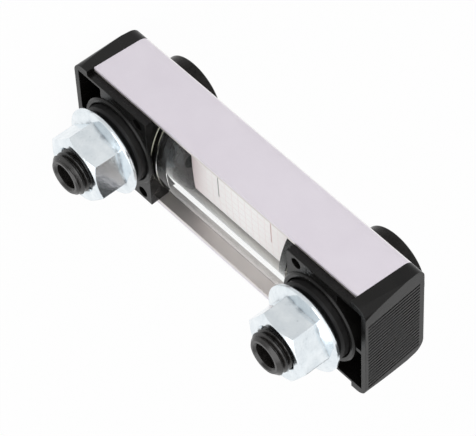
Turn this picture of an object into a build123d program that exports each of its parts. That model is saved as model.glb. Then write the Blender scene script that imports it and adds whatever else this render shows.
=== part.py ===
from build123d import *
import os
from math import cos, radians, sin, tan

# Tank level gauge for a hydraulic tank, as it is fixed to the tank wall.
# +Z runs up along the gauge, +Y points into the tank and X runs across it.
# The origin lies on the plane of the tank wall, midway between the two bolts.
# All sizes are in millimetres.

# ---- driving dimensions -------------------------------------------------------

# Whole gauge
CAP_LENGTH_OVERALL = 109.0  # from the end face of one cap to that of the other
BOLT_TO_CAP_END = 16.5     # from each bolt's axis out to the end face of its cap
BOLT_TO_CHAMBER = 11.5     # from each bolt's axis in to the end of the sight chamber
BODY_DEPTH = 20.5          # from the tank wall to the front of the housing
SIDE_DRAFT = 4.0           # degrees that the long sides lean in towards the front
END_DRAFT = 4.0            # degrees that the end faces lean in towards the front

# Housing, a folded sheet open at the back
CAP_OVERHANG = 5.3         # how far each cap stands out of its end
HOUSING_WIDTH = 34.0       # outside, at its back edges
HOUSING_SETBACK = 2.4      # from the tank wall to its back edges
SHEET = 1.5
BEND_RADIUS = 3.5          # outside radius of both folds
SMALLEST_CORNER = 0.6      # where a fold's radius runs out inside thick walls
WINDOW_WIDTH = 18.0
WINDOW_LENGTH = 40.0
WINDOW_CORNER = 3.0

# Fits between pieces
SLIP_FIT = 0.1             # a piece that slides into another
BOLT_FIT = 0.3             # round the bolt where it passes through a cap

# End caps
CAP_END_WALL = 1.6
CAP_SIDE_WALL = 2.4
CAP_CORNER = 3.5           # the two upright corners at its outer end
POCKET_DEPTH = 15.0
POCKET_INNER_END = 6.2     # from the bolt's axis out to where the pockets start
POCKET_DRAFT = 1.0         # degrees
WEB_THICKNESS = 1.2
BOSS_RADIUS = 12.9
BOSS_RIM = 1.6             # wall round the seal
BOSS_HEIGHT = 0.6          # how far that wall stands out of the back face
BOSS_BEVEL = 0.4
SEAL_RECESS = 1.6
RIB_PITCH = 1.2
RIB_GROOVE = 0.55
RIB_DEPTH = 0.5
RIB_COUNT = 21
RIB_MARGIN_BACK = 0.9
RIB_MARGIN_FRONT = 1.6
RIB_OFFSET = -1.4          # the grooved field sits this far off the middle
STUD_HOLE_RADIUS = 1.6
STUD_HOLE_DEPTH = 3.0
STUD_RADIUS = 0.8          # moulded core left standing in each small blind hole
STUD_DEPTH = 0.8           # its end lies this far below the back face
STUD_SPACING = 26.4        # across the cap
STUD_FROM_BOLT = 8.2       # towards the middle of the gauge

# Sight chamber
SIGHT_BACK_RADIUS = 20.6
SIGHT_BACK_SETBACK = 0.7   # from the tank wall to the crown of its back
SIGHT_WALL = 3.0
COLLAR_LENGTH = 1.8
COLLAR_GROOVE = 0.35

# Plug of each cap in the end of the chamber
PLUG_LENGTH = 6.3
PLUG_GROOVE_WIDTH = 2.0
PLUG_GROOVE_DEPTH = 1.5
CHAMBER_SEAL = 1.7         # thickness of the ring in that groove

# Contrast plate in the chamber
PLATE_THICKNESS = 0.8
PLATE_DEPTH = 9.4          # from the tank wall to its back

# Oil way
OIL_DEPTH = 9.8            # from the tank wall to the line of the passages
OIL_PASSAGE_RADIUS = 2.5
OIL_GROOVE_RADIUS = 7.6    # ring-shaped space round each bolt
OIL_GROOVE_WIDTH = 7.0

# Hollow bolts
THREAD_RADIUS = 6.0        # M12
BOLT_END = 18.1            # from the tank wall to the threaded end
BOLT_BORE_RADIUS = 3.5
BOLT_END_CHAMFER = 1.2
BORE_CHAMFER = 0.6
WAIST_RADIUS = 5.0
CROSS_HOLE_RADIUS = 2.0
HEAD_RADIUS = 10.3
HEAD_HEIGHT = 4.4
HEAD_BEVEL = 0.5
SOCKET_ACROSS_FLATS = 8.0
SOCKET_DEPTH = 4.0
BORE_TO_SOCKET = 2.5       # metal left between the bore and the socket

# Seals
HEAD_SEAL_THICKNESS = 0.6
HEAD_SEAL_RADIUS = 9.2
TANK_SEAL_PROUD = 2.6      # how far it stands out of the tank wall's plane
TANK_SEAL_BEVEL = 0.6

# Flange nuts
NUT_ACROSS_FLATS = 18.0
NUT_HEIGHT = 12.0
NUT_FLANGE_RADIUS = 13.0
NUT_FLANGE_RIM = 1.8
NUT_FLANGE_SLOPE = 25.0    # degrees
NUT_CHAMFER = 30.0         # degrees
UPPER_NUT_TURN = 25.7      # degrees that each nut happens to be turned
LOWER_NUT_TURN = 12.6
NUT_BORE_CHAMFER = 0.8

# ---- derived dimensions -------------------------------------------------------

END_Z = CAP_LENGTH_OVERALL / 2
BOLT_Z = END_Z - BOLT_TO_CAP_END
BOLT_PITCH = 2 * BOLT_Z
HOUSING_END_Z = END_Z - CAP_OVERHANG
SIGHT_END_Z = BOLT_Z - BOLT_TO_CHAMBER
SIGHT_LENGTH = 2 * SIGHT_END_Z
PLUG_END_Z = SIGHT_END_Z - PLUG_LENGTH
SIGHT_FRONT = BODY_DEPTH - SHEET - SLIP_FIT
INNER_INSET = SHEET + SLIP_FIT
CHAMBER_FRONT = SIGHT_FRONT - SIGHT_WALL
SEAL_RECESS_RADIUS = BOSS_RADIUS - BOSS_RIM
TANK_SEAL_RADIUS = SEAL_RECESS_RADIUS - SLIP_FIT
CAP_BORE_RADIUS = THREAD_RADIUS + BOLT_FIT
HEAD_BACK = BODY_DEPTH + HEAD_SEAL_THICKNESS


def half_width(depth):
    """Half of the drafted body's width at a distance in front of the tank wall."""
    return HOUSING_WIDTH / 2 - (depth - HOUSING_SETBACK) * tan(radians(SIDE_DRAFT))


def body_section(inset, back=0.0):
    """Section of the drafted body, inset all round its front and sides."""
    side_inset = inset / cos(radians(SIDE_DRAFT))
    front = BODY_DEPTH - inset
    with BuildSketch() as section:
        with BuildLine():
            Polyline(
                (half_width(back) - side_inset, -back),
                (-half_width(back) + side_inset, -back),
                (-half_width(front) + side_inset, -front),
                (half_width(front) - side_inset, -front),
                close=True,
            )
        make_face()
        front_corners = section.vertices().group_by(Axis.Y)[0]
        fillet(front_corners, radius=max(BEND_RADIUS - inset, SMALLEST_CORNER))
    return section.sketch


def sight_section(inset):
    """Section of the sight chamber: the inside of the housing with a crowned back."""
    with BuildSketch() as section:
        add(body_section(INNER_INSET + inset))
        with Locations((0, -SIGHT_BACK_SETBACK - SIGHT_BACK_RADIUS)):
            Circle(SIGHT_BACK_RADIUS - inset, mode=Mode.INTERSECT)
    return section.sketch


def at_height(z):
    """Plane across the gauge at a height, looking up."""
    return Plane.XY.offset(z)


def facing_tank(depth):
    """Plane parallel to the tank wall, in front of it by a depth, on the upper bolt."""
    return Plane((0, -depth, BOLT_Z), x_dir=(1, 0, 0), z_dir=(0, 1, 0))


# ---- housing ------------------------------------------------------------------

def make_housing():
    """Sheet folded to a channel, with the sight window and a hole for each bolt."""
    with BuildPart() as housing:
        with BuildSketch(at_height(-HOUSING_END_Z)):
            add(body_section(0, back=HOUSING_SETBACK))
            add(body_section(SHEET), mode=Mode.SUBTRACT)
        extrude(amount=2 * HOUSING_END_Z)
        with BuildSketch(Plane.XZ.offset(BODY_DEPTH)):
            RectangleRounded(WINDOW_WIDTH, WINDOW_LENGTH, WINDOW_CORNER)
            with GridLocations(0, BOLT_PITCH, 1, 2):
                Circle(CAP_BORE_RADIUS)
        extrude(amount=-2 * SHEET, mode=Mode.SUBTRACT)
    return housing.part


# ---- end caps -----------------------------------------------------------------

def cap_side_view():
    """Outline of a cap's outer end from the side: drafted end face, rounded front."""
    end_at_front = END_Z - BODY_DEPTH * tan(radians(END_DRAFT))
    with BuildSketch(Plane.YZ) as outline:
        with BuildLine():
            Polyline(
                (0, 0),
                (0, END_Z),
                (-BODY_DEPTH, end_at_front),
                (-BODY_DEPTH, 0),
                close=True,
            )
        make_face()
        front_corner = outline.vertices().group_by(Axis.Y)[0].sort_by(Axis.Z)[-1]
        fillet(front_corner, radius=BEND_RADIUS)
    return outline.sketch


def cap_back_view():
    """Outline of a cap's outer end from the tank, with its two rounded corners."""
    with BuildSketch(Plane.XZ) as outline:
        with Locations((0, 0)):
            Rectangle(2 * half_width(0), END_Z, align=(Align.CENTER, Align.MIN))
        outer_corners = outline.vertices().group_by(Axis.Z)[-1]
        fillet(outer_corners, radius=CAP_CORNER)
    return outline.sketch


def make_end_cap():
    """Moulded cap at the upper end: shell, boss for the bolt and plug for the chamber."""
    with BuildPart() as outer_end:
        with BuildSketch(at_height(HOUSING_END_Z)):
            add(body_section(0))
        extrude(amount=END_Z - HOUSING_END_Z)
        extrude(cap_side_view(), amount=HOUSING_WIDTH, both=True, mode=Mode.INTERSECT)
        extrude(cap_back_view(), amount=2 * BODY_DEPTH, both=True, mode=Mode.INTERSECT)
    with BuildPart() as cap:
        # the length inside the housing, then the flush outer end
        with BuildSketch(at_height(SIGHT_END_Z)):
            add(body_section(INNER_INSET))
        extrude(amount=HOUSING_END_Z - SIGHT_END_Z)
        add(outer_end.part)
        # plug in the end of the sight chamber, with its seal groove
        with BuildSketch(at_height(PLUG_END_Z)):
            add(sight_section(SIGHT_WALL + SLIP_FIT))
        extrude(amount=PLUG_LENGTH)
        with BuildSketch(at_height(PLUG_END_Z + (PLUG_LENGTH - PLUG_GROOVE_WIDTH) / 2)):
            add(sight_section(SIGHT_WALL))
            add(sight_section(SIGHT_WALL + PLUG_GROOVE_DEPTH), mode=Mode.SUBTRACT)
        extrude(amount=PLUG_GROOVE_WIDTH, mode=Mode.SUBTRACT)
        # pockets that core out the outer end, round the boss and beside the web
        pocket_end = END_Z - CAP_END_WALL
        pocket_length = pocket_end - BOLT_Z - POCKET_INNER_END
        pocket_width = 2 * (half_width(0) - CAP_SIDE_WALL)
        with BuildSketch(facing_tank(0)):
            with Locations((0, -POCKET_INNER_END - pocket_length / 2)):
                Rectangle(pocket_width, pocket_length)
                Rectangle(WEB_THICKNESS, pocket_length, mode=Mode.SUBTRACT)
            Circle(BOSS_RADIUS, mode=Mode.SUBTRACT)
        extrude(amount=-POCKET_DEPTH, mode=Mode.SUBTRACT, taper=POCKET_DRAFT)
        # boss rim with the recess for the seal; it reaches over the chamber's end
        boss_front = SIGHT_BACK_SETBACK - SLIP_FIT
        with BuildSketch(facing_tank(boss_front)):
            Circle(BOSS_RADIUS)
        extrude(amount=boss_front + BOSS_HEIGHT)
        with BuildSketch(facing_tank(SEAL_RECESS - BOSS_HEIGHT)):
            Circle(SEAL_RECESS_RADIUS)
        extrude(amount=2 * SEAL_RECESS, mode=Mode.SUBTRACT)
        rim = cap.edges().filter_by(GeomType.CIRCLE).group_by(Axis.Y)[-1]
        chamfer(rim, length=BOSS_BEVEL)
        # bore for the bolt, the ring-shaped oil space and the way into the chamber
        with BuildSketch(facing_tank(BODY_DEPTH)):
            Circle(CAP_BORE_RADIUS)
        extrude(amount=2 * BODY_DEPTH, mode=Mode.SUBTRACT)
        with BuildSketch(facing_tank(OIL_DEPTH + OIL_GROOVE_WIDTH / 2)):
            Circle(OIL_GROOVE_RADIUS)
        extrude(amount=OIL_GROOVE_WIDTH, mode=Mode.SUBTRACT)
        with BuildSketch(at_height(PLUG_END_Z)):
            with Locations((0, -OIL_DEPTH)):
                Circle(OIL_PASSAGE_RADIUS)
        extrude(amount=BOLT_Z - PLUG_END_Z, mode=Mode.SUBTRACT)
        # small blind holes with a moulded core in each
        with BuildSketch(facing_tank(0)):
            with Locations((0, STUD_FROM_BOLT)):
                with GridLocations(STUD_SPACING, 0, 2, 1):
                    Circle(STUD_HOLE_RADIUS)
        extrude(amount=-STUD_HOLE_DEPTH, mode=Mode.SUBTRACT)
        with BuildSketch(facing_tank(STUD_HOLE_DEPTH)):
            with Locations((0, STUD_FROM_BOLT)):
                with GridLocations(STUD_SPACING, 0, 2, 1):
                    Circle(STUD_RADIUS)
        extrude(amount=STUD_HOLE_DEPTH - STUD_DEPTH)
        # fine grooves across the end face, cut square to its draft
        with BuildSketch(end_face_plane()):
            with Locations((RIB_OFFSET, (RIB_MARGIN_BACK - RIB_MARGIN_FRONT) / -2)):
                with GridLocations(RIB_PITCH, 0, RIB_COUNT, 1):
                    Rectangle(RIB_GROOVE, rib_length())
        extrude(amount=-RIB_DEPTH, mode=Mode.SUBTRACT)
    return cap.part


def end_face_plane():
    """Plane of the upper end face, at half its depth, with Y towards the tank."""
    lean = radians(END_DRAFT)
    middle = END_Z - BODY_DEPTH / 2 * tan(lean)
    return Plane((0, -BODY_DEPTH / 2, middle), x_dir=(1, 0, 0), z_dir=(0, -sin(lean), cos(lean)))


def rib_length():
    """Length of a groove in the end face between its two margins."""
    return (BODY_DEPTH - RIB_MARGIN_BACK - RIB_MARGIN_FRONT) / cos(radians(END_DRAFT))


# ---- sight chamber and what it holds --------------------------------------------

def make_sight_chamber():
    """Clear chamber, open at both ends, with a pad that fills the window."""
    with BuildPart() as chamber:
        with BuildSketch(at_height(-SIGHT_END_Z)):
            add(sight_section(0))
        extrude(amount=SIGHT_LENGTH)
        with BuildSketch(Plane.XZ.offset(SIGHT_FRONT)):
            RectangleRounded(
                WINDOW_WIDTH - 2 * SLIP_FIT,
                WINDOW_LENGTH - 2 * SLIP_FIT,
                WINDOW_CORNER - SLIP_FIT,
            )
        extrude(amount=BODY_DEPTH - SIGHT_FRONT)
        with BuildSketch(at_height(-SIGHT_END_Z)):
            add(sight_section(SIGHT_WALL))
        extrude(amount=SIGHT_LENGTH, mode=Mode.SUBTRACT)
        # a fine line round the outside marks off the collar at each end
        groove_z = SIGHT_END_Z - COLLAR_LENGTH
        for bottom in (-groove_z, groove_z - COLLAR_GROOVE):
            with BuildSketch(at_height(bottom)):
                add(sight_section(-COLLAR_GROOVE))
                add(sight_section(COLLAR_GROOVE), mode=Mode.SUBTRACT)
            extrude(amount=COLLAR_GROOVE, mode=Mode.SUBTRACT)
    return chamber.part


def make_chamber_seal():
    """Rubber ring in the groove of the upper plug."""
    groove_bottom = PLUG_END_Z + (PLUG_LENGTH - PLUG_GROOVE_WIDTH) / 2
    with BuildPart() as seal:
        with BuildSketch(at_height(groove_bottom + (PLUG_GROOVE_WIDTH - CHAMBER_SEAL) / 2)):
            add(sight_section(SIGHT_WALL))
            add(sight_section(SIGHT_WALL + PLUG_GROOVE_DEPTH), mode=Mode.SUBTRACT)
        extrude(amount=CHAMBER_SEAL)
    return seal.part


def make_scale_plate():
    """White plate behind the oil, held between the two plugs."""
    section = sight_section(SIGHT_WALL + SLIP_FIT)
    with BuildPart() as plate:
        with BuildSketch(at_height(-PLUG_END_Z + SLIP_FIT)):
            add(section)
            with Locations((0, -PLATE_DEPTH)):
                Rectangle(
                    HOUSING_WIDTH,
                    PLATE_THICKNESS,
                    align=(Align.CENTER, Align.MAX),
                    mode=Mode.INTERSECT,
                )
        extrude(amount=2 * (PLUG_END_Z - SLIP_FIT))
    return plate.part


# ---- hollow bolts, nuts and seals -----------------------------------------------

def make_hollow_bolt():
    """Hollow bolt through the upper cap: socket head, waist, cross hole and bore."""
    head_front = HEAD_BACK + HEAD_HEIGHT
    shank = BOLT_END + HEAD_BACK
    waist_back = OIL_DEPTH - OIL_GROOVE_WIDTH / 2
    with BuildPart() as bolt:
        with BuildSketch(facing_tank(head_front)):
            Circle(HEAD_RADIUS)
        extrude(amount=HEAD_HEIGHT)
        chamfer(bolt.edges().group_by(Axis.Y)[0], length=HEAD_BEVEL)
        with BuildSketch(facing_tank(HEAD_BACK)):
            Circle(THREAD_RADIUS)
        extrude(amount=shank)
        chamfer(bolt.edges().group_by(Axis.Y)[-1], length=BOLT_END_CHAMFER)
        with BuildSketch(facing_tank(waist_back + OIL_GROOVE_WIDTH)):
            Circle(THREAD_RADIUS)
            Circle(WAIST_RADIUS, mode=Mode.SUBTRACT)
        extrude(amount=OIL_GROOVE_WIDTH, mode=Mode.SUBTRACT)
        with BuildSketch(facing_tank(-BOLT_END)):
            Circle(BOLT_BORE_RADIUS)
        bore_depth = BOLT_END + head_front - SOCKET_DEPTH - BORE_TO_SOCKET
        extrude(amount=-bore_depth, mode=Mode.SUBTRACT)
        end_circles = bolt.edges().filter_by(GeomType.CIRCLE).group_by(Axis.Y)[-1]
        chamfer(end_circles.sort_by(SortBy.RADIUS)[0], length=BORE_CHAMFER)
        with BuildSketch(facing_tank(head_front)):
            RegularPolygon(SOCKET_ACROSS_FLATS / 2, 6, major_radius=False)
        extrude(amount=SOCKET_DEPTH, mode=Mode.SUBTRACT)
        with BuildSketch(Plane((0, -OIL_DEPTH, BOLT_Z), x_dir=(0, 0, 1), z_dir=(1, 0, 0))):
            Circle(CROSS_HOLE_RADIUS)
        extrude(amount=THREAD_RADIUS, both=True, mode=Mode.SUBTRACT)
        with BuildSketch(at_height(BOLT_Z - THREAD_RADIUS)):
            with Locations((0, -OIL_DEPTH)):
                Circle(CROSS_HOLE_RADIUS)
        extrude(amount=2 * THREAD_RADIUS, mode=Mode.SUBTRACT)
    return bolt.part


def make_head_seal():
    """Flat ring under the head of the upper bolt."""
    with BuildPart() as seal:
        with BuildSketch(facing_tank(HEAD_BACK)):
            Circle(HEAD_SEAL_RADIUS)
            Circle(CAP_BORE_RADIUS, mode=Mode.SUBTRACT)
        extrude(amount=HEAD_SEAL_THICKNESS)
    return seal.part


def make_tank_seal():
    """Rubber ring in the boss of the upper cap, which meets the tank wall."""
    with BuildPart() as seal:
        with BuildSketch(facing_tank(SEAL_RECESS - BOSS_HEIGHT)):
            Circle(TANK_SEAL_RADIUS)
            Circle(CAP_BORE_RADIUS, mode=Mode.SUBTRACT)
        extrude(amount=SEAL_RECESS - BOSS_HEIGHT + TANK_SEAL_PROUD)
        outer_rim = seal.edges().group_by(Axis.Y)[-1].sort_by(SortBy.RADIUS)[-1]
        chamfer(outer_rim, length=TANK_SEAL_BEVEL)
    return seal.part


def make_flange_nut():
    """Hexagon nut with a sloping flange, on the upper bolt."""
    base = -TANK_SEAL_PROUD
    across_corners = NUT_ACROSS_FLATS / cos(radians(30))
    slope = tan(radians(NUT_FLANGE_SLOPE))
    cone_height = NUT_FLANGE_RIM + NUT_FLANGE_RADIUS * slope
    chamfer_drop = (across_corners - NUT_ACROSS_FLATS) * tan(radians(NUT_CHAMFER))
    with BuildPart() as nut:
        with BuildSketch(facing_tank(base)):
            RegularPolygon(NUT_ACROSS_FLATS / 2, 6, major_radius=False)
        extrude(amount=NUT_HEIGHT)
        # crown chamfer, turned as a cone
        with BuildSketch(Plane.XY.offset(BOLT_Z)):
            with BuildLine():
                Polyline(
                    (0, -base),
                    (across_corners, -base),
                    (across_corners, -base + NUT_HEIGHT - chamfer_drop),
                    (NUT_ACROSS_FLATS / 2 - SLIP_FIT, -base + NUT_HEIGHT),
                    (0, -base + NUT_HEIGHT),
                    close=True,
                )
            make_face()
        revolve(axis=Axis((0, 0, BOLT_Z), (0, 1, 0)), mode=Mode.INTERSECT)
        # flange, a low cone with an upright rim
        with BuildSketch(Plane.XY.offset(BOLT_Z)):
            with BuildLine():
                Polyline(
                    (0, -base),
                    (NUT_FLANGE_RADIUS, -base),
                    (NUT_FLANGE_RADIUS, -base + NUT_FLANGE_RIM),
                    (THREAD_RADIUS, -base + cone_height - THREAD_RADIUS * slope),
                    (0, -base + cone_height - THREAD_RADIUS * slope),
                    close=True,
                )
            make_face()
        revolve(axis=Axis((0, 0, BOLT_Z), (0, 1, 0)))
        with BuildSketch(facing_tank(base)):
            Circle(THREAD_RADIUS + SLIP_FIT / 2)
        extrude(amount=NUT_HEIGHT, mode=Mode.SUBTRACT)
        end_circles = nut.edges().filter_by(GeomType.CIRCLE).group_by(Axis.Y)[-1]
        chamfer(end_circles.sort_by(SortBy.RADIUS)[0], length=NUT_BORE_CHAMFER)
    return nut.part


def turned_on_bolt(piece, angle):
    """The piece turned about the upper bolt by an angle in degrees."""
    return piece.rotate(Axis((0, 0, BOLT_Z), (0, 1, 0)), angle)


# ---- the whole gauge ------------------------------------------------------------

os.makedirs("parts", exist_ok=True)

single_pieces = {
    "housing": make_housing(),
    "sight_chamber": make_sight_chamber(),
    "scale_plate": make_scale_plate(),
}
paired_pieces = {
    "end_cap": make_end_cap(),
    "chamber_seal": make_chamber_seal(),
    "hollow_bolt": make_hollow_bolt(),
    "head_seal": make_head_seal(),
    "tank_seal": make_tank_seal(),
}
nut = make_flange_nut()

gauge = dict(single_pieces)
for name, piece in paired_pieces.items():
    gauge["upper_" + name] = piece
    gauge["lower_" + name] = piece.rotate(Axis.Y, 180)
gauge["upper_flange_nut"] = turned_on_bolt(nut, UPPER_NUT_TURN)
gauge["lower_flange_nut"] = turned_on_bolt(nut, LOWER_NUT_TURN).rotate(Axis.Y, 180)

for name, piece in gauge.items():
    piece.label = name
    export_step(piece, f"parts/{name}.step")
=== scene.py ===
from math import cos, pi, radians, sin, tan

import bpy
from mathutils import Matrix, Vector


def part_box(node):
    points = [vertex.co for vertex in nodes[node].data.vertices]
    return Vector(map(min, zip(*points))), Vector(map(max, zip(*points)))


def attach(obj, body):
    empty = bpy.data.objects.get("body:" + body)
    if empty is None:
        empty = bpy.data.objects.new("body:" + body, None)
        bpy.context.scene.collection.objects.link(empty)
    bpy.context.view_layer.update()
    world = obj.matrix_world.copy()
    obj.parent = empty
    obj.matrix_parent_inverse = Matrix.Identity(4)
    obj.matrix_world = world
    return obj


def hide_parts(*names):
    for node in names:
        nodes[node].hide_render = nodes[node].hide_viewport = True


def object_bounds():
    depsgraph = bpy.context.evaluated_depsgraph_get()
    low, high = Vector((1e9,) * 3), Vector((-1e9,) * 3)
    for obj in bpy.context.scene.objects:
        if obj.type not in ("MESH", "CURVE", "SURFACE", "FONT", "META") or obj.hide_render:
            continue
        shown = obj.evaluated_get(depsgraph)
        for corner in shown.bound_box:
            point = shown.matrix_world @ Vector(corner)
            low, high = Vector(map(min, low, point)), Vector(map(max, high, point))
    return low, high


# The looks of a tank level gauge. All lengths are in metres, in the frame of the CAD model:
# +Z up along the gauge, +Y into the tank along the hollow bolts, +X across the gauge.
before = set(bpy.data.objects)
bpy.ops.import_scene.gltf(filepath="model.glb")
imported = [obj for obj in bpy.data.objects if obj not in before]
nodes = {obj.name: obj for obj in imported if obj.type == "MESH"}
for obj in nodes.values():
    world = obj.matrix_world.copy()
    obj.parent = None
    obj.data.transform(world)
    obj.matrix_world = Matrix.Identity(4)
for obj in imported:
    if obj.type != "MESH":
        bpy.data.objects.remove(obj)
cad_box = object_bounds()

MM = 0.001
NOISE_LOW, NOISE_HIGH = 0.3, 0.7    # noise mostly stays between these


# ---- helpers for node trees -------------------------------------------------------

class NodeTree:
    """Short calls to build a node tree."""

    def __init__(self, tree):
        self.tree = tree

    def add(self, kind, **settings):
        node = self.tree.nodes.new(kind)
        for key, value in settings.items():
            setattr(node, key, value)
        return node

    def link(self, source, target):
        self.tree.links.new(source, target)

    def feed(self, socket, source):
        """Gives a socket an output or a constant."""
        if isinstance(source, bpy.types.NodeSocket):
            self.link(source, socket)
        else:
            socket.default_value = source

    def math(self, operation, first, second=0.0):
        """A sum on outputs or numbers."""
        node = self.add("ShaderNodeMath", operation=operation)
        self.feed(node.inputs[0], first)
        self.feed(node.inputs[1], second)
        return node.outputs["Value"]

    def mapped(self, value, source, target):
        """The value, taken from a source range to a target range and held inside it."""
        node = self.add("ShaderNodeMapRange")
        for name, limit in zip(("From Min", "From Max", "To Min", "To Max"), (*source, *target)):
            node.inputs[name].default_value = limit
        self.link(value, node.inputs["Value"])
        return node.outputs["Result"]

    def mixed(self, share, low, high):
        """A value that goes from low to high as the share goes from 0 to 1."""
        node = self.add("ShaderNodeMix")
        for name, source in (("Factor", share), ("A", low), ("B", high)):
            self.feed(node.inputs[name], source)
        return node.outputs["Result"]


class Shader(NodeTree):
    """A node material with its Principled shader."""

    def __init__(self, name):
        self.material = bpy.data.materials.new(name)
        self.material.use_nodes = True
        super().__init__(self.material.node_tree)
        self.principled = self.tree.nodes["Principled BSDF"]
        self.place = self.add("ShaderNodeTexCoord").outputs["Object"]

    def set(self, **sockets):
        """Feeds sockets of the Principled shader; underscores stand for spaces."""
        for key, source in sockets.items():
            self.feed(self.principled.inputs[key.replace("_", " ")], source)

    def mix_in(self, share, shader):
        """Shows another shader by a share, in place of the Principled one."""
        mix = self.add("ShaderNodeMixShader")
        self.link(share, mix.inputs["Fac"])
        self.link(self.principled.outputs["BSDF"], mix.inputs[1])
        self.link(shader, mix.inputs[2])
        self.link(mix.outputs["Shader"], self.tree.nodes["Material Output"].inputs["Surface"])

    def axes(self):
        """The place's x, y and z."""
        split = self.add("ShaderNodeSeparateXYZ")
        self.link(self.place, split.inputs["Vector"])
        return [split.outputs[axis] for axis in "XYZ"]

    def stretched(self, scale):
        """The place on the object, stretched by a scale along each axis."""
        mapping = self.add("ShaderNodeMapping")
        mapping.inputs["Scale"].default_value = scale
        self.link(self.place, mapping.inputs["Vector"])
        return mapping.outputs["Vector"]

    def noise(self, size, detail=3.0, roughness=0.5, place=None):
        """Noise whose lumps are about size across."""
        node = self.add("ShaderNodeTexNoise")
        node.inputs["Scale"].default_value = 1 / size
        node.inputs["Detail"].default_value = detail
        node.inputs["Roughness"].default_value = roughness
        self.link(place or self.place, node.inputs["Vector"])
        return node.outputs["Fac"]

    def spread(self, noise, low, high):
        """Noise, taken to low..high."""
        return self.mapped(noise, (NOISE_LOW, NOISE_HIGH), (low, high))

    def ramp(self, value, *stops):
        """A colour ramp with (position, colour) stops."""
        node = self.add("ShaderNodeValToRGB")
        elements = node.color_ramp.elements
        while len(elements) < len(stops):
            elements.new(0.5)
        for element, (position, colour) in zip(elements, stops):
            element.position = position
            element.color = (*colour, 1.0)
        self.link(value, node.inputs["Fac"])
        return node.outputs["Color"]

    def tones(self, noise, dark, light):
        """A colour between two tones by noise."""
        return self.ramp(noise, (NOISE_LOW, dark), (NOISE_HIGH, light))

    def zoned(self, zone, noise, *tones):
        """A colour by noise between the two tones of a zone, which is a whole number."""
        scale = len(tones) + 1
        stops = [
            ((number + edge) / scale, tone)
            for number, pair in enumerate(tones)
            for edge, tone in zip((NOISE_LOW, NOISE_HIGH), pair)
        ]
        place_on_ramp = self.math("MULTIPLY", self.math("ADD", zone, noise), 1 / scale)
        return self.ramp(place_on_ramp, *stops)

    def grid_line(self, along):
        """1 on thin lines across an axis and 0 between them."""
        turn = self.math("FRACT", self.math("MULTIPLY", along, 1 / GRID_PITCH))
        return self.math("LESS_THAN", turn, GRID_LINE_SHARE)

    def bump(self, height, distance, strength=1.0, below=None):
        """A bump of a height, on top of another bump."""
        node = self.add("ShaderNodeBump")
        node.inputs["Distance"].default_value = distance
        node.inputs["Strength"].default_value = strength
        self.link(height, node.inputs["Height"])
        if below:
            self.link(below, node.inputs["Normal"])
        return node.outputs["Normal"]

    def rounded(self, radius):
        """Normals that round every edge by a radius, as moulding and plating leave it."""
        node = self.add("ShaderNodeBevel", samples=BEVEL_SAMPLES)
        node.inputs["Radius"].default_value = radius
        return node.outputs["Normal"]

    def openness(self, reach):
        """1 on open surfaces, less in grooves and inner corners of a size."""
        node = self.add("ShaderNodeAmbientOcclusion", samples=OPENNESS_SAMPLES, only_local=True)
        node.inputs["Distance"].default_value = reach
        return node.outputs["AO"]


# ---- materials --------------------------------------------------------------------

BEVEL_SAMPLES = 6
OPENNESS_SAMPLES = 12

SHEET_TAPER = tan(radians(4))           # of the flanges, towards the front
SHEET_MIDDLE_AT_WALL = 16.42 * MM       # from the gauge's middle to the middle of a flange
SHEET_MIDDLE_IN_FRONT = -19.75 * MM
FRONT_STARTS = -18.0 * MM
BARE_METAL = 0.8                        # how metallic the inside of the flanges is

HEADS_BEHIND = -19.0 * MM               # the bolts' heads are in front of this
# how much shine the heads lose, as painted shade
HEAD_PAINTED_SHADE = 0.48

SPECKS_ABOVE = 0.66                     # of the noise that makes dark specks on zinc
SPECK_DARKNESS = 0.35
# how far the zinc's colour darkens in inner corners, as painted shade
PAINTED_CREASE_SHADE = 0.9

CHAMBER_INDEX = 1.2                     # low, so that the plate shows flat behind it
# width of the painted highlight round each end of the clear chamber
RIM_HIGHLIGHT_WIDTH = 0.22 * MM

GRID_PITCH = 2.5 * MM
GRID_LINE_SHARE = 0.10                  # of the pitch
GRID_TONE = 0.88                        # place of the lines' colour on the plate's ramp

INK_THIN = 0.75                         # the darker tone of the ink
INK_RED = (0.62, 0.38, 0.38)
INK_GREY = (0.22, 0.22, 0.22)


def housing_coat():
    """Smooth pale lavender-grey coat, with greyer bare sheet inside and painted light on the front
    there: its inner face lies in shade and is made paler so that it reads as lit.
    """
    s = Shader("housing_coat")
    x, y = s.axes()[:2]
    half_width = s.math("ADD", s.math("MULTIPLY", y, SHEET_TAPER), SHEET_MIDDLE_AT_WALL)
    between_flanges = s.math("LESS_THAN", s.math("ABSOLUTE", x), half_width)
    behind_front = s.math("GREATER_THAN", y, SHEET_MIDDLE_IN_FRONT)
    inside = s.math("MULTIPLY", between_flanges, behind_front)
    # painted light: the inner face of the front is given a paler colour, so that it reads as lit
    # though it lies in shade
    front_painted_light = s.math("MULTIPLY", inside, s.math("LESS_THAN", y, FRONT_STARTS))
    on_flanges = s.math("SUBTRACT", inside, front_painted_light)
    tone = s.noise(9 * MM, detail=2)
    fine = s.noise(0.25 * MM, detail=2)
    s.set(
        Base_Color=s.zoned(
            s.math("ADD", inside, front_painted_light), tone,
            ((0.675, 0.628, 0.690), (0.700, 0.655, 0.715)),     # outside
            ((0.640, 0.605, 0.585), (0.700, 0.665, 0.645)),     # inside of the flanges
            ((0.930, 0.910, 0.900), (0.950, 0.930, 0.920)),     # inside of the front: painted light, paler than the coat so the shaded face reads as lit
        ),
        Metallic=s.math("MULTIPLY", on_flanges, BARE_METAL),
        Roughness=s.spread(s.noise(2 * MM), 0.32, 0.38),
        Specular_IOR_Level=0.5,
        Coat_Weight=0.25,
        Coat_Roughness=0.25,
        Coat_Normal=s.bump(fine, distance=0.004 * MM),
        Normal=s.bump(tone, distance=0.02 * MM, below=s.rounded(0.25 * MM)),
    )
    return s.material


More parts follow.
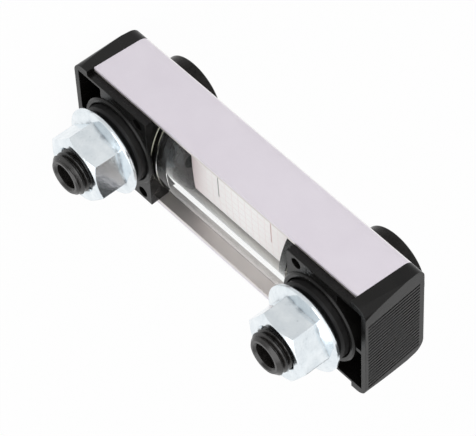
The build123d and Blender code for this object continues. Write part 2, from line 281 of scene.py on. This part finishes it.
def black_moulding():
    """Black moulded plastic with a fine grain and a slight sheen, and painted shade that dulls the
    sheen in grooves and inner corners.
    """
    s = Shader("black_moulding")
    grain = s.noise(0.22 * MM, detail=3)
    cloud = s.noise(4 * MM, detail=2)
    s.set(
        Base_Color=s.tones(cloud, (0.0030, 0.0028, 0.0026), (0.0050, 0.0047, 0.0044)),
        Roughness=s.spread(cloud, 0.22, 0.30),
        # painted shade: the sheen fades where ambient occlusion finds grooves and inner corners
        Specular_IOR_Level=s.mapped(s.openness(0.8 * MM), (0.0, 1.0), (0.02, 0.24)),
        Normal=s.bump(grain, distance=0.010 * MM, strength=0.6, below=s.rounded(0.18 * MM)),
    )
    return s.material


def seal_rubber():
    """Black rubber, duller than the mouldings."""
    s = Shader("seal_rubber")
    bloom = s.noise(1.5 * MM, detail=4)
    s.set(
        Base_Color=s.tones(bloom, (0.005, 0.0047, 0.0047), (0.009, 0.0085, 0.0085)),
        Roughness=s.spread(bloom, 0.42, 0.56),
        Specular_IOR_Level=0.25,
        Normal=s.bump(bloom, distance=0.01 * MM, below=s.rounded(0.15 * MM)),
    )
    return s.material


def black_oxide():
    """Oiled black oxide on turned steel, with painted shade: less shine in the threads' roots and
    on the heads.
    """
    s = Shader("black_oxide")
    patches = s.noise(1.6 * MM, detail=4, roughness=0.6)
    turned = s.noise(1.0, detail=2, place=s.stretched((300, 9000, 300)))
    on_head = s.math("LESS_THAN", s.axes()[1], HEADS_BEHIND)
    # painted shade: less shine where ambient occlusion finds the threads' roots, and less on the
    # heads
    shine = s.mapped(s.openness(3.0 * MM), (0.0, 1.0), (0.02, 0.62))
    s.set(
        Base_Color=s.tones(patches, (0.006, 0.0055, 0.0050), (0.014, 0.0125, 0.0115)),
        Roughness=s.spread(patches, 0.22, 0.34),
        Specular_IOR_Level=s.math("SUBTRACT", shine, s.math("MULTIPLY", on_head, HEAD_PAINTED_SHADE)),
        Normal=s.bump(turned, distance=0.006 * MM, below=s.rounded(0.12 * MM)),
    )
    return s.material


def bright_zinc():
    """Bright bluish zinc plating over a forged surface that isn't quite flat, with painted shade
    darkening its colour in inner corners.
    """
    s = Shader("bright_zinc")
    waves = s.noise(3.0 * MM, detail=2)
    pits = s.noise(0.35 * MM, detail=4, roughness=0.65)
    dirt = s.noise(0.5 * MM, detail=5, roughness=0.7)
    specks = s.math("MULTIPLY", s.math("GREATER_THAN", dirt, SPECKS_ABOVE), SPECK_DARKNESS)
    # painted shade: the colour darkens where ambient occlusion finds inner corners and creases
    corners = s.math("SUBTRACT", 1.0, s.openness(1.5 * MM))
    painted_crease_shade = s.math("MULTIPLY", corners, PAINTED_CREASE_SHADE)
    wavy = s.bump(waves, distance=0.05 * MM, below=s.rounded(0.40 * MM))
    s.set(
        Base_Color=s.ramp(
            s.math("SUBTRACT", waves, s.math("MAXIMUM", specks, painted_crease_shade)),
            (0.0, (0.30, 0.33, 0.36)),
            (NOISE_LOW, (0.76, 0.82, 0.86)),
            (NOISE_HIGH, (0.88, 0.93, 0.96)),
        ),
        Metallic=1.0,
        Roughness=s.spread(pits, 0.09, 0.20),
        Normal=s.bump(pits, distance=0.012 * MM, strength=0.7, below=wavy),
    )
    return s.material


def clear_plastic():
    """Clear moulded plastic with a trace of flow lines and a painted highlight, a pale opaque
    line, round each end.

    Shadow rays and diffuse rays pass it unbent, so that it throws no dark shadow."""
    s = Shader("clear_plastic")
    flow = s.noise(1.0, detail=2, place=s.stretched((250, 250, 40)))
    height = s.math("ABSOLUTE", s.axes()[2])
    from_end = s.math("SUBTRACT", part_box("sight_chamber")[1].z, height)
    # painted highlight: an opaque pale line stands for light caught by the tube's end edge
    rim = s.math("LESS_THAN", from_end, RIM_HIGHLIGHT_WIDTH)
    s.set(
        Base_Color=s.zoned(
            rim, flow,
            ((0.97, 0.985, 0.975), (0.98, 0.99, 0.985)),    # clear
            ((0.72, 0.72, 0.58), (0.72, 0.72, 0.58)),       # rim line: painted highlight of the tube's lit end edge
        ),
        Transmission_Weight=s.math("SUBTRACT", 1.0, rim),
        IOR=CHAMBER_INDEX,
        Roughness=0.0,
    )
    rays = s.add("ShaderNodeLightPath").outputs
    passes = s.math("MAXIMUM", rays["Is Shadow Ray"], rays["Is Diffuse Ray"])
    s.mix_in(passes, s.add("ShaderNodeBsdfTransparent").outputs["BSDF"])
    return s.material


def plate_white():
    """White plate with a faint pinkish grid, pinker towards its ends."""
    s = Shader("plate_white")
    x, _, z = s.axes()
    towards_end = s.math("MULTIPLY", s.math("ABSOLUTE", z), 1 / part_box("scale_plate")[1].z)
    lines = s.math("MAXIMUM", s.grid_line(x), s.grid_line(z))
    s.set(
        Base_Color=s.ramp(
            s.math("MAXIMUM", towards_end, s.math("MULTIPLY", lines, GRID_TONE)),
            (0.0, (0.95, 0.93, 0.93)),
            (0.70, (0.93, 0.89, 0.89)),
            (1.0, (0.86, 0.74, 0.75)),
        ),
        Roughness=s.spread(s.noise(1 * MM), 0.30, 0.42),
        Normal=s.bump(s.noise(0.8 * MM), distance=0.01 * MM),
    )
    return s.material


def print_ink(name, colour):
    """Printed ink with a slightly broken surface."""
    s = Shader(name)
    speckle = s.noise(0.15 * MM, detail=3)
    dark = tuple(INK_THIN * c for c in colour)
    s.set(
        Base_Color=s.ramp(speckle, (0.35, dark), (0.65, colour)),
        Roughness=s.spread(speckle, 0.4, 0.55),
    )
    return s.material


# ---- mesh helpers -----------------------------------------------------------------

def new_piece(name, vertices, faces, material, smooth_below=35.0):
    """A mesh object that rides on the gauge, smooth but for edges sharper than an angle."""
    mesh = bpy.data.meshes.new(name)
    mesh.from_pydata([Vector(v) for v in vertices], [], faces)
    mesh.validate()
    mesh.shade_smooth()
    mesh.set_sharp_from_angle(angle=radians(smooth_below))
    mesh.materials.append(material)
    piece = bpy.data.objects.new(name, mesh)
    bpy.context.scene.collection.objects.link(piece)
    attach(piece, "root")
    return piece


def ringed_solid(rings, side, turn=0.0, bored=False):
    """Vertices and faces of a closed solid about a bolt's axis, from rings along it.

    A ring is a function of the angle that gives (radius, y). The first and last rings
    are closed by a fan, or joined to each other where the solid is bored through.
    What is on the lower bolt is turned half round about Y."""
    sign = -1 if side == "lower" else 1
    vertices = []
    for ring in rings:
        for i in range(BOLT_STEPS):
            angle = 2 * pi * i / BOLT_STEPS
            radius, y = ring(angle)
            x, z = radius * sin(angle + turn), BOLT_Z + radius * cos(angle + turn)
            vertices.append((sign * x, y, sign * z))
    faces = []
    pairs = [(j, j + 1) for j in range(len(rings) - 1)]
    if bored:
        pairs.append((len(rings) - 1, 0))
    for first, second in pairs:
        a, b = first * BOLT_STEPS, second * BOLT_STEPS
        for i in range(BOLT_STEPS):
            k = (i + 1) % BOLT_STEPS
            faces.append((a + i, a + k, b + k, b + i))
    ends = () if bored else ((0, -1), ((len(rings) - 1) * BOLT_STEPS, 1))
    for start, order in ends:
        centre = len(vertices)
        ring = vertices[start:start + BOLT_STEPS]
        vertices.append(tuple(sum(v[axis] for v in ring) / BOLT_STEPS for axis in range(3)))
        for i in range(BOLT_STEPS):
            k = (i + 1) % BOLT_STEPS
            faces.append((start + i, start + k, centre)[::order])
    return vertices, faces


def hex_radius(angle, across_flats):
    """Radius of a hexagon at an angle from the middle of one of its flats."""
    sector = pi / 3
    return across_flats / 2 / cos((angle + sector / 2) % sector - sector / 2)


def plain(radius, y):
    """A round ring."""
    return lambda angle: (radius, y)


def hexagonal(across_flats, y):
    """A six-sided ring."""
    return lambda angle: (hex_radius(angle, across_flats), y)


# ---- hollow bolts with their threads ------------------------------------------------

BOLT_STEPS = 96             # round a bolt or nut
BOLT_Z = 38.0 * MM
THREAD_PITCH = 1.5 * MM
THREAD_RADIUS = 6.0 * MM
THREAD_DEPTH = 0.92 * MM
CREST_SHARE = 0.16          # of the pitch
ROOT_SHARE = 0.14
ROWS_A_PITCH = 16
THREAD_START = -1.0 * MM    # where the thread runs out, inside the cap
BORE_RADIUS = 3.5 * MM
BORE_CHAMFER = 0.6 * MM
END_CHAMFER = 1.2 * MM
HEAD_RADIUS = 10.3 * MM
HEAD_HEIGHT = 4.4 * MM
HEAD_BEVEL = 0.5 * MM
HEAD_BEVEL_STEPS = 6
SOCKET_FLATS = 8.0 * MM
SOCKET_DEPTH = 4.0 * MM
BORE_TO_SOCKET = 2.5 * MM
WAIST_RADIUS = 5.0 * MM
WAIST_FRONT = -13.3 * MM
WAIST_BACK = -6.3 * MM


def thread_radius(angle, y):
    """Radius of the thread at an angle and a place along the bolt."""
    turn = (y / THREAD_PITCH - angle / (2 * pi)) % 1.0
    from_crest = abs(turn - 0.5) * 2            # 0 in the middle of a crest, 1 in a root
    flank = (from_crest - CREST_SHARE) / (1 - CREST_SHARE - ROOT_SHARE)
    depth = min(max(flank, 0.0), 1.0) * THREAD_DEPTH
    run_in = min(max((y - THREAD_START) / THREAD_PITCH, 0.0), 1.0)
    return THREAD_RADIUS - depth * run_in


def threaded(y, end):
    """A ring of the thread, cut off by the chamfer at the bolt's end."""
    limit = THREAD_RADIUS - END_CHAMFER + (end - y)
    return lambda angle: (min(thread_radius(angle, y), limit), y)


def hollow_bolt(side):
    """The whole bolt, with a real thread where the CAD one is plain."""
    low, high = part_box(side + "_hollow_bolt")
    front, end = low.y, high.y
    head_back = front + HEAD_HEIGHT
    rows = int((end - THREAD_START) / THREAD_PITCH * ROWS_A_PITCH)
    step = (end - THREAD_START) / rows
    bevel = [radians(90 * i / HEAD_BEVEL_STEPS) for i in range(HEAD_BEVEL_STEPS + 1)]
    rings = [
        plain(BORE_RADIUS, front + SOCKET_DEPTH + BORE_TO_SOCKET),
        plain(BORE_RADIUS, end - BORE_CHAMFER),
        plain(BORE_RADIUS + BORE_CHAMFER, end),
        *(threaded(end - i * step, end) for i in range(rows + 1)),
        plain(THREAD_RADIUS, WAIST_BACK),
        plain(WAIST_RADIUS, WAIST_BACK),
        plain(WAIST_RADIUS, WAIST_FRONT),
        plain(THREAD_RADIUS, WAIST_FRONT),
        plain(THREAD_RADIUS, head_back),
        plain(HEAD_RADIUS, head_back),
        *(
            plain(HEAD_RADIUS - HEAD_BEVEL * (1 - cos(a)), front + HEAD_BEVEL * (1 - sin(a)))
            for a in bevel
        ),
        hexagonal(SOCKET_FLATS, front),
        hexagonal(SOCKET_FLATS, front + SOCKET_DEPTH),
    ]
    vertices, faces = ringed_solid(rings, side)
    bolt = new_piece(side + "_bolt", vertices, faces, BLACK_OXIDE)
    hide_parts(side + "_hollow_bolt")


# ---- flange nuts --------------------------------------------------------------------

NUT_FLATS = 18.0 * MM
NUT_BORE = 6.05 * MM
NUT_BORE_CHAMFER = 0.8 * MM
NUT_CROWN_RADIUS = 8.85 * MM    # flat top inside the chamfer
NUT_CHAMFER = radians(30)
NUT_RIM_RADIUS = 12.5 * MM
NUT_RIM_HEIGHT = 1.0 * MM
NUT_RELIEF = 2.0 * MM           # the flange's underside slopes up by this to its rim
NUT_SEAT_RADIUS = 9.5 * MM
NUT_FLANGE_SLOPE = radians(15)
NUT_EDGE = 0.12 * MM            # worn edges of the rim
NUT_SMOOTH_BELOW = 20.0         # degrees
NUT_TURN = {"upper": radians(25.7), "lower": radians(12.6)}


def flange_nut(side):
    """The nut with crisp chamfer arcs on its hexagon and a flange relieved underneath."""
    low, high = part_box(side + "_flange_nut")
    base, top = low.y, high.y
    rim_bottom = base + NUT_RELIEF
    rim_top = rim_bottom + NUT_RIM_HEIGHT

    def chamfered(angle):
        radius = hex_radius(angle, NUT_FLATS)
        return radius, top - (radius - NUT_CROWN_RADIUS) * tan(NUT_CHAMFER)

    def on_flange(angle):
        radius = hex_radius(angle, NUT_FLATS)
        return radius, rim_top + (NUT_RIM_RADIUS - radius) * tan(NUT_FLANGE_SLOPE)

    rings = [
        plain(NUT_BORE, top - NUT_BORE_CHAMFER),
        plain(NUT_BORE + NUT_BORE_CHAMFER, top),
        plain(NUT_CROWN_RADIUS, top),
        chamfered,
        on_flange,
        plain(NUT_RIM_RADIUS - NUT_EDGE, rim_top),
        plain(NUT_RIM_RADIUS, rim_top - NUT_EDGE),
        plain(NUT_RIM_RADIUS, rim_bottom + NUT_EDGE),
        plain(NUT_RIM_RADIUS - NUT_EDGE, rim_bottom),
        plain(NUT_SEAT_RADIUS, base),
        plain(NUT_BORE, base),
    ]
    vertices, faces = ringed_solid(rings, side, NUT_TURN[side], bored=True)
    piece = new_piece(
        side + "_nut", vertices, faces, BRIGHT_ZINC, NUT_SMOOTH_BELOW
    )
    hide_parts(side + "_flange_nut")


# ---- level marks on the plate ---------------------------------------------------------

MARK_HEIGHT = 10.0 * MM     # of the marked levels above and below the middle
MARK_THICKNESS = 0.03 * MM
LINE_HALF_LENGTH = 5.5 * MM
LINE_WIDTH = 0.3 * MM
ARROW_SIZE = 1.5 * MM
ARROW_FROM_LINE_END = 3.2 * MM
ARROW_THICKNESS = 1.5 * MARK_THICKNESS      # it lies over the line


def flat_shape(outline, y, thickness):
    """Vertices and faces of a thin plate with an outline of (x, z) points."""
    count = len(outline)
    vertices = [(x, y + up, z) for up in (0, thickness) for x, z in outline]
    faces = [tuple(range(count)), tuple(range(2 * count - 1, count - 1, -1))]
    faces += [(i, i + count, (i + 1) % count + count, (i + 1) % count) for i in range(count)]
    return vertices, faces


def level_mark(side, z, ink):
    """A line across the plate and an arrow head on it, on both faces of the plate."""
    low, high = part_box("scale_plate")
    end, half = LINE_HALF_LENGTH, LINE_WIDTH / 2
    tip = end - ARROW_FROM_LINE_END
    back, spread = tip + ARROW_SIZE, ARROW_SIZE / 2
    line = [(-end, z - half), (end, z - half), (end, z + half), (-end, z + half)]
    arrow = [(tip, z), (back, z - spread), (back, z + spread)]
    shapes = (("line", line, MARK_THICKNESS), ("arrow", arrow, ARROW_THICKNESS))
    for shape, outline, thickness in shapes:
        for face, y in (("front", low.y - thickness), ("back", high.y)):
            vertices, faces = flat_shape(outline, y, thickness)
            new_piece(f"{side}_mark_{shape}_{face}", vertices, faces, ink)


# ---- the pieces and their finishes ----------------------------------------------------

BLACK_OXIDE = black_oxide()
BRIGHT_ZINC = bright_zinc()

NODE_FINISHES = {
    "housing": housing_coat(),
    "end_cap": black_moulding(),
    "seal": seal_rubber(),
    "flange_nut": BRIGHT_ZINC,
    "sight_chamber": clear_plastic(),
    "scale_plate": plate_white(),
    "hollow_bolt": BLACK_OXIDE,
}


def finish_nodes():
    """Gives each CAD node its finish, by the last words of its name."""
    for name, node in nodes.items():
        finish = next(m for ending, m in NODE_FINISHES.items() if name.endswith(ending))
        for material_slot in node.material_slots:
            material_slot.material = finish


finish_nodes()
for side in ("upper", "lower"):
    hollow_bolt(side)
    flange_nut(side)
level_mark("upper", MARK_HEIGHT, print_ink("ink_pale_red", INK_RED))
level_mark("lower", -MARK_HEIGHT, print_ink("ink_grey", INK_GREY))


# ---- floor, light and camera ------------------------------------------------------------

FLOOR_SIZE = 4.0
FLOOR_GAP = 0.5 * MM
FLOOR_COLOUR = (0.85, 0.85, 0.85, 1.0)
FLOOR_GLOW = 0.97           # share of plain white in what the camera sees
CARD_X = (0.012, 0.035)     # where the grey card fades in, and where it is full
CARD_LEVEL = 0.75

# What shiny things mirror of the surroundings beside plain white:
# (direction, cosine at the patch's edge, cosine where it is full, level)
DIM_PATCHES = (
    ((0.9, 0.0, -0.45), 0.45, 1.0, 0.75),
    ((-0.52, -0.39, 0.75), 0.935, 0.975, 0.08),
)
AMBIENT = 0.45

LAMP_DISTANCE = 1.0
LAMPS = (                   # name, direction, size, watts
    ("key", (0.80, 0.25, 0.55), 1.0, 4.6),
    ("fill", (0.15, 0.9, 0.35), 0.9, 4.0),
    ("front", (0.25, -0.95, 0.2), 0.9, 3.4),
)

VIEW_AZIMUTH = 116.614      # degrees; 0 looks along +Y, 90 along -X
VIEW_ELEVATION = 29.231
VIEW_ROLL = 131.104         # the gauge lies on its side in the picture
VIEW_DISTANCE = 0.76478
VIEW_TARGET = (1.125 * MM, -5.011 * MM, 2.214 * MM)
VIEW_CLIP = (0.01, 20.0)
LENS = 232.74               # mm, on a sensor 36 mm wide


def pale_floor():
    """A pale floor that the camera sees as nearly white, with the gauge's shadow on it.

    In a mirror it dims towards +X, as if a grey card lay there."""
    z = cad_box[0].z - FLOOR_GAP
    half = FLOOR_SIZE / 2
    corners = [(-half, -half, z), (half, -half, z), (half, half, z), (-half, half, z)]
    mesh = bpy.data.meshes.new("floor")
    mesh.from_pydata(corners, [], [(0, 1, 2, 3)])
    s = Shader("floor_white")
    s.set(Base_Color=FLOOR_COLOUR, Roughness=0.9)
    rays = s.add("ShaderNodeLightPath").outputs
    mirrored = rays["Is Glossy Ray"]
    seen = s.math("MAXIMUM", rays["Is Camera Ray"], rays["Is Transmission Ray"])
    card = s.mapped(s.axes()[0], CARD_X, (0.0, 1.0 - CARD_LEVEL))
    glow = s.add("ShaderNodeEmission")
    strength = s.math("SUBTRACT", 1.0, s.math("MULTIPLY", mirrored, card))
    s.link(strength, glow.inputs["Strength"])
    share = s.math("MULTIPLY", s.math("MAXIMUM", seen, mirrored), FLOOR_GLOW)
    s.mix_in(share, glow.outputs["Emission"])
    mesh.materials.append(s.material)
    floor = bpy.data.objects.new("floor", mesh)
    bpy.context.scene.collection.objects.link(floor)


def studio_world():
    """White surroundings with dimmer patches, that give light at a lower level.

    Shiny things mirror the patches; the camera and clear things see plain white."""
    world = bpy.data.worlds.new("studio")
    bpy.context.scene.world = world
    world.use_nodes = True
    w = NodeTree(world.node_tree)
    rays = w.add("ShaderNodeLightPath").outputs
    direction = w.add("ShaderNodeTexCoord").outputs["Generated"]
    surroundings = 1.0
    for middle, edge_cosine, full_cosine, level in DIM_PATCHES:
        towards = w.add("ShaderNodeVectorMath", operation="DOT_PRODUCT")
        w.link(direction, towards.inputs[0])
        towards.inputs[1].default_value = Vector(middle).normalized()
        share = w.mapped(towards.outputs["Value"], (edge_cosine, full_cosine), (0.0, 1.0))
        surroundings = w.mixed(share, surroundings, level)
    mirrored = w.mixed(rays["Is Glossy Ray"], 1.0, surroundings)
    strength = w.mixed(rays["Is Diffuse Ray"], mirrored, AMBIENT)
    background = w.tree.nodes["Background"]
    background.inputs["Color"].default_value = (1.0, 1.0, 1.0, 1.0)
    w.link(strength, background.inputs["Strength"])


def soft_light(name, direction, size, watts):
    """A square area lamp that looks at the middle of the gauge from a direction."""
    lamp = bpy.data.lights.new(name, "AREA")
    lamp.size = size
    lamp.energy = watts
    place = Vector(direction).normalized() * LAMP_DISTANCE
    lamp_object = bpy.data.objects.new(name, lamp)
    lamp_object.location = place
    lamp_object.rotation_euler = (-place).to_track_quat("-Z", "Y").to_euler()
    bpy.context.scene.collection.objects.link(lamp_object)


def photograph_camera():
    """The camera, at the photograph's viewing angle."""
    azimuth, elevation = radians(VIEW_AZIMUTH), radians(VIEW_ELEVATION)
    back = Vector((
        sin(azimuth) * cos(elevation),
        -cos(azimuth) * cos(elevation),
        sin(elevation),
    ))
    level_right = Vector((cos(azimuth), sin(azimuth), 0))
    level_up = back.cross(level_right)
    turn = radians(VIEW_ROLL)
    right = level_right * cos(turn) + level_up * sin(turn)
    up = back.cross(right)
    axes = Matrix((right, up, back)).transposed()
    place = Vector(VIEW_TARGET) + back * VIEW_DISTANCE
    data = bpy.data.cameras.new("camera")
    data.lens = LENS
    data.clip_start, data.clip_end = VIEW_CLIP
    camera = bpy.data.objects.new("camera", data)
    camera.matrix_world = Matrix.Translation(place) @ axes.to_4x4()
    bpy.context.scene.collection.objects.link(camera)
    bpy.context.scene.camera = camera


pale_floor()
studio_world()
for lamp in LAMPS:
    soft_light(*lamp)
photograph_camera()
bpy.context.scene.view_settings.view_transform = "Standard"
